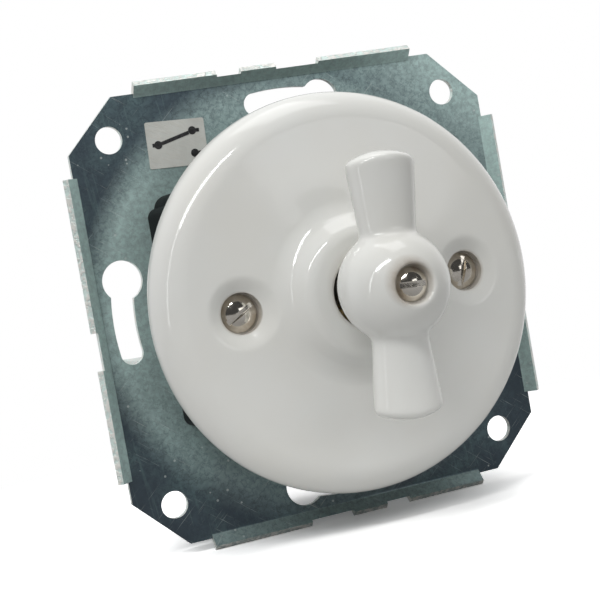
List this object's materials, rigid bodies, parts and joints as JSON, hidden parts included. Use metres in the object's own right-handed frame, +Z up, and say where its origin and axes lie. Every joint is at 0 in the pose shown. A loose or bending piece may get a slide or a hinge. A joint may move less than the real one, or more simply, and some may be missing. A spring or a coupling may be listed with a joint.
{
  "type": "rotary light switch",
  "caption": "Flush-mounted rotary two-way light switch: round glazed porcelain cover and winged knob on a square zinc-plated mounting plate for a wall box.",
  "frame": {"origin": "middle of the mounting plate's back, on the wall, which is the centre of its corner holes", "axes": "+Z up the wall, -Y out of the wall towards the room, +X to the right seen from the room"},
  "size_m": [0.071, 0.065, 0.071],
  "materials": {
    "zinc_plate": "mottled blue-green zinc plating",
    "paper": "matt paper",
    "black_moulding": "matt black moulding",
    "porcelain": "clear glossy glaze",
    "nickel": "polished nickel plating",
    "spindle_steel": "turned steel",
    "spring_steel": "drawn wire",
    "brass": "rolled and turned brass",
    "brown_moulding": "brown thermoset",
    "zinc_screw": "bright zinc plating"
  },
  "bodies": {
    "plate": {"mounting_plate": "zinc_plate", "label": "paper", "front_housing": "black_moulding", "rear_housing": "black_moulding", "rear_cover": "black_moulding", "cover": "porcelain", "cover_screws": "nickel", "detent_spring": "spring_steel", "detent_ball": "spindle_steel", "bushing": "brass", "common_contact": "brass", "first_traveller_contact": "brass", "second_traveller_contact": "brass", "common_terminal": "brass", "first_traveller_terminal": "brass", "second_traveller_terminal": "brass", "terminal_screws": "zinc_screw", "housing_screws": "zinc_screw"},
    "spindle": {"knob": "porcelain", "knob_screw": "nickel", "shaft": "spindle_steel", "retaining_ring": "spring_steel", "detent_wheel": "brown_moulding", "rotor": "brown_moulding", "contact_bridge": "brass"},
    "left_screw": {"left_claw_screw": "zinc_screw"},
    "left_nut": {"left_claw_nut": "zinc_screw"},
    "left_spreader": {"left_claw": "zinc_plate"},
    "right_screw": {"right_claw_screw": "zinc_screw"},
    "right_nut": {"right_claw_nut": "zinc_screw"},
    "right_spreader": {"right_claw": "zinc_plate"}
  },
  "joints": [
    {"name": "knob_turn", "type": "hinge", "parent": "plate", "child": "spindle", "pos_m": [0, 0, 0], "axis": [0, -1, 0], "continuous": true},
    {"name": "left_claw_screw_turn", "type": "hinge", "parent": "plate", "child": "left_screw", "pos_m": [-0.0215, -0.001, -0.0098], "axis": [0, 1, 0], "range_deg": [0, 2160]},
    {"name": "left_claw_nut_slide", "type": "slide", "parent": "plate", "child": "left_nut", "axis": [0, -1, 0], "range_m": [0, 0.0036]},
    {"name": "left_claw_swing", "type": "hinge", "parent": "left_nut", "child": "left_spreader", "pos_m": [-0.0215, 0.015, -0.0098], "axis": [0, 0, 1], "range_deg": [0, 30]},
    {"name": "right_claw_screw_turn", "type": "hinge", "parent": "plate", "child": "right_screw", "pos_m": [0.0215, -0.001, 0.0098], "axis": [0, 1, 0], "range_deg": [0, 2160]},
    {"name": "right_claw_nut_slide", "type": "slide", "parent": "plate", "child": "right_nut", "axis": [0, -1, 0], "range_m": [0, 0.0036]},
    {"name": "right_claw_swing", "type": "hinge", "parent": "right_nut", "child": "right_spreader", "pos_m": [0.0215, 0.015, 0.0098], "axis": [0, 0, -1], "range_deg": [0, 30]}
  ],
  "couplings": [
    {"joint": "left_claw_screw_turn", "follows": "left_claw_nut_slide", "rad_per_m": 10472},
    {"joint": "left_claw_swing", "follows": "left_claw_nut_slide", "rad_per_m": 145.44},
    {"joint": "right_claw_screw_turn", "follows": "right_claw_nut_slide", "rad_per_m": 10472},
    {"joint": "right_claw_swing", "follows": "right_claw_nut_slide", "rad_per_m": 145.44}
  ]
}
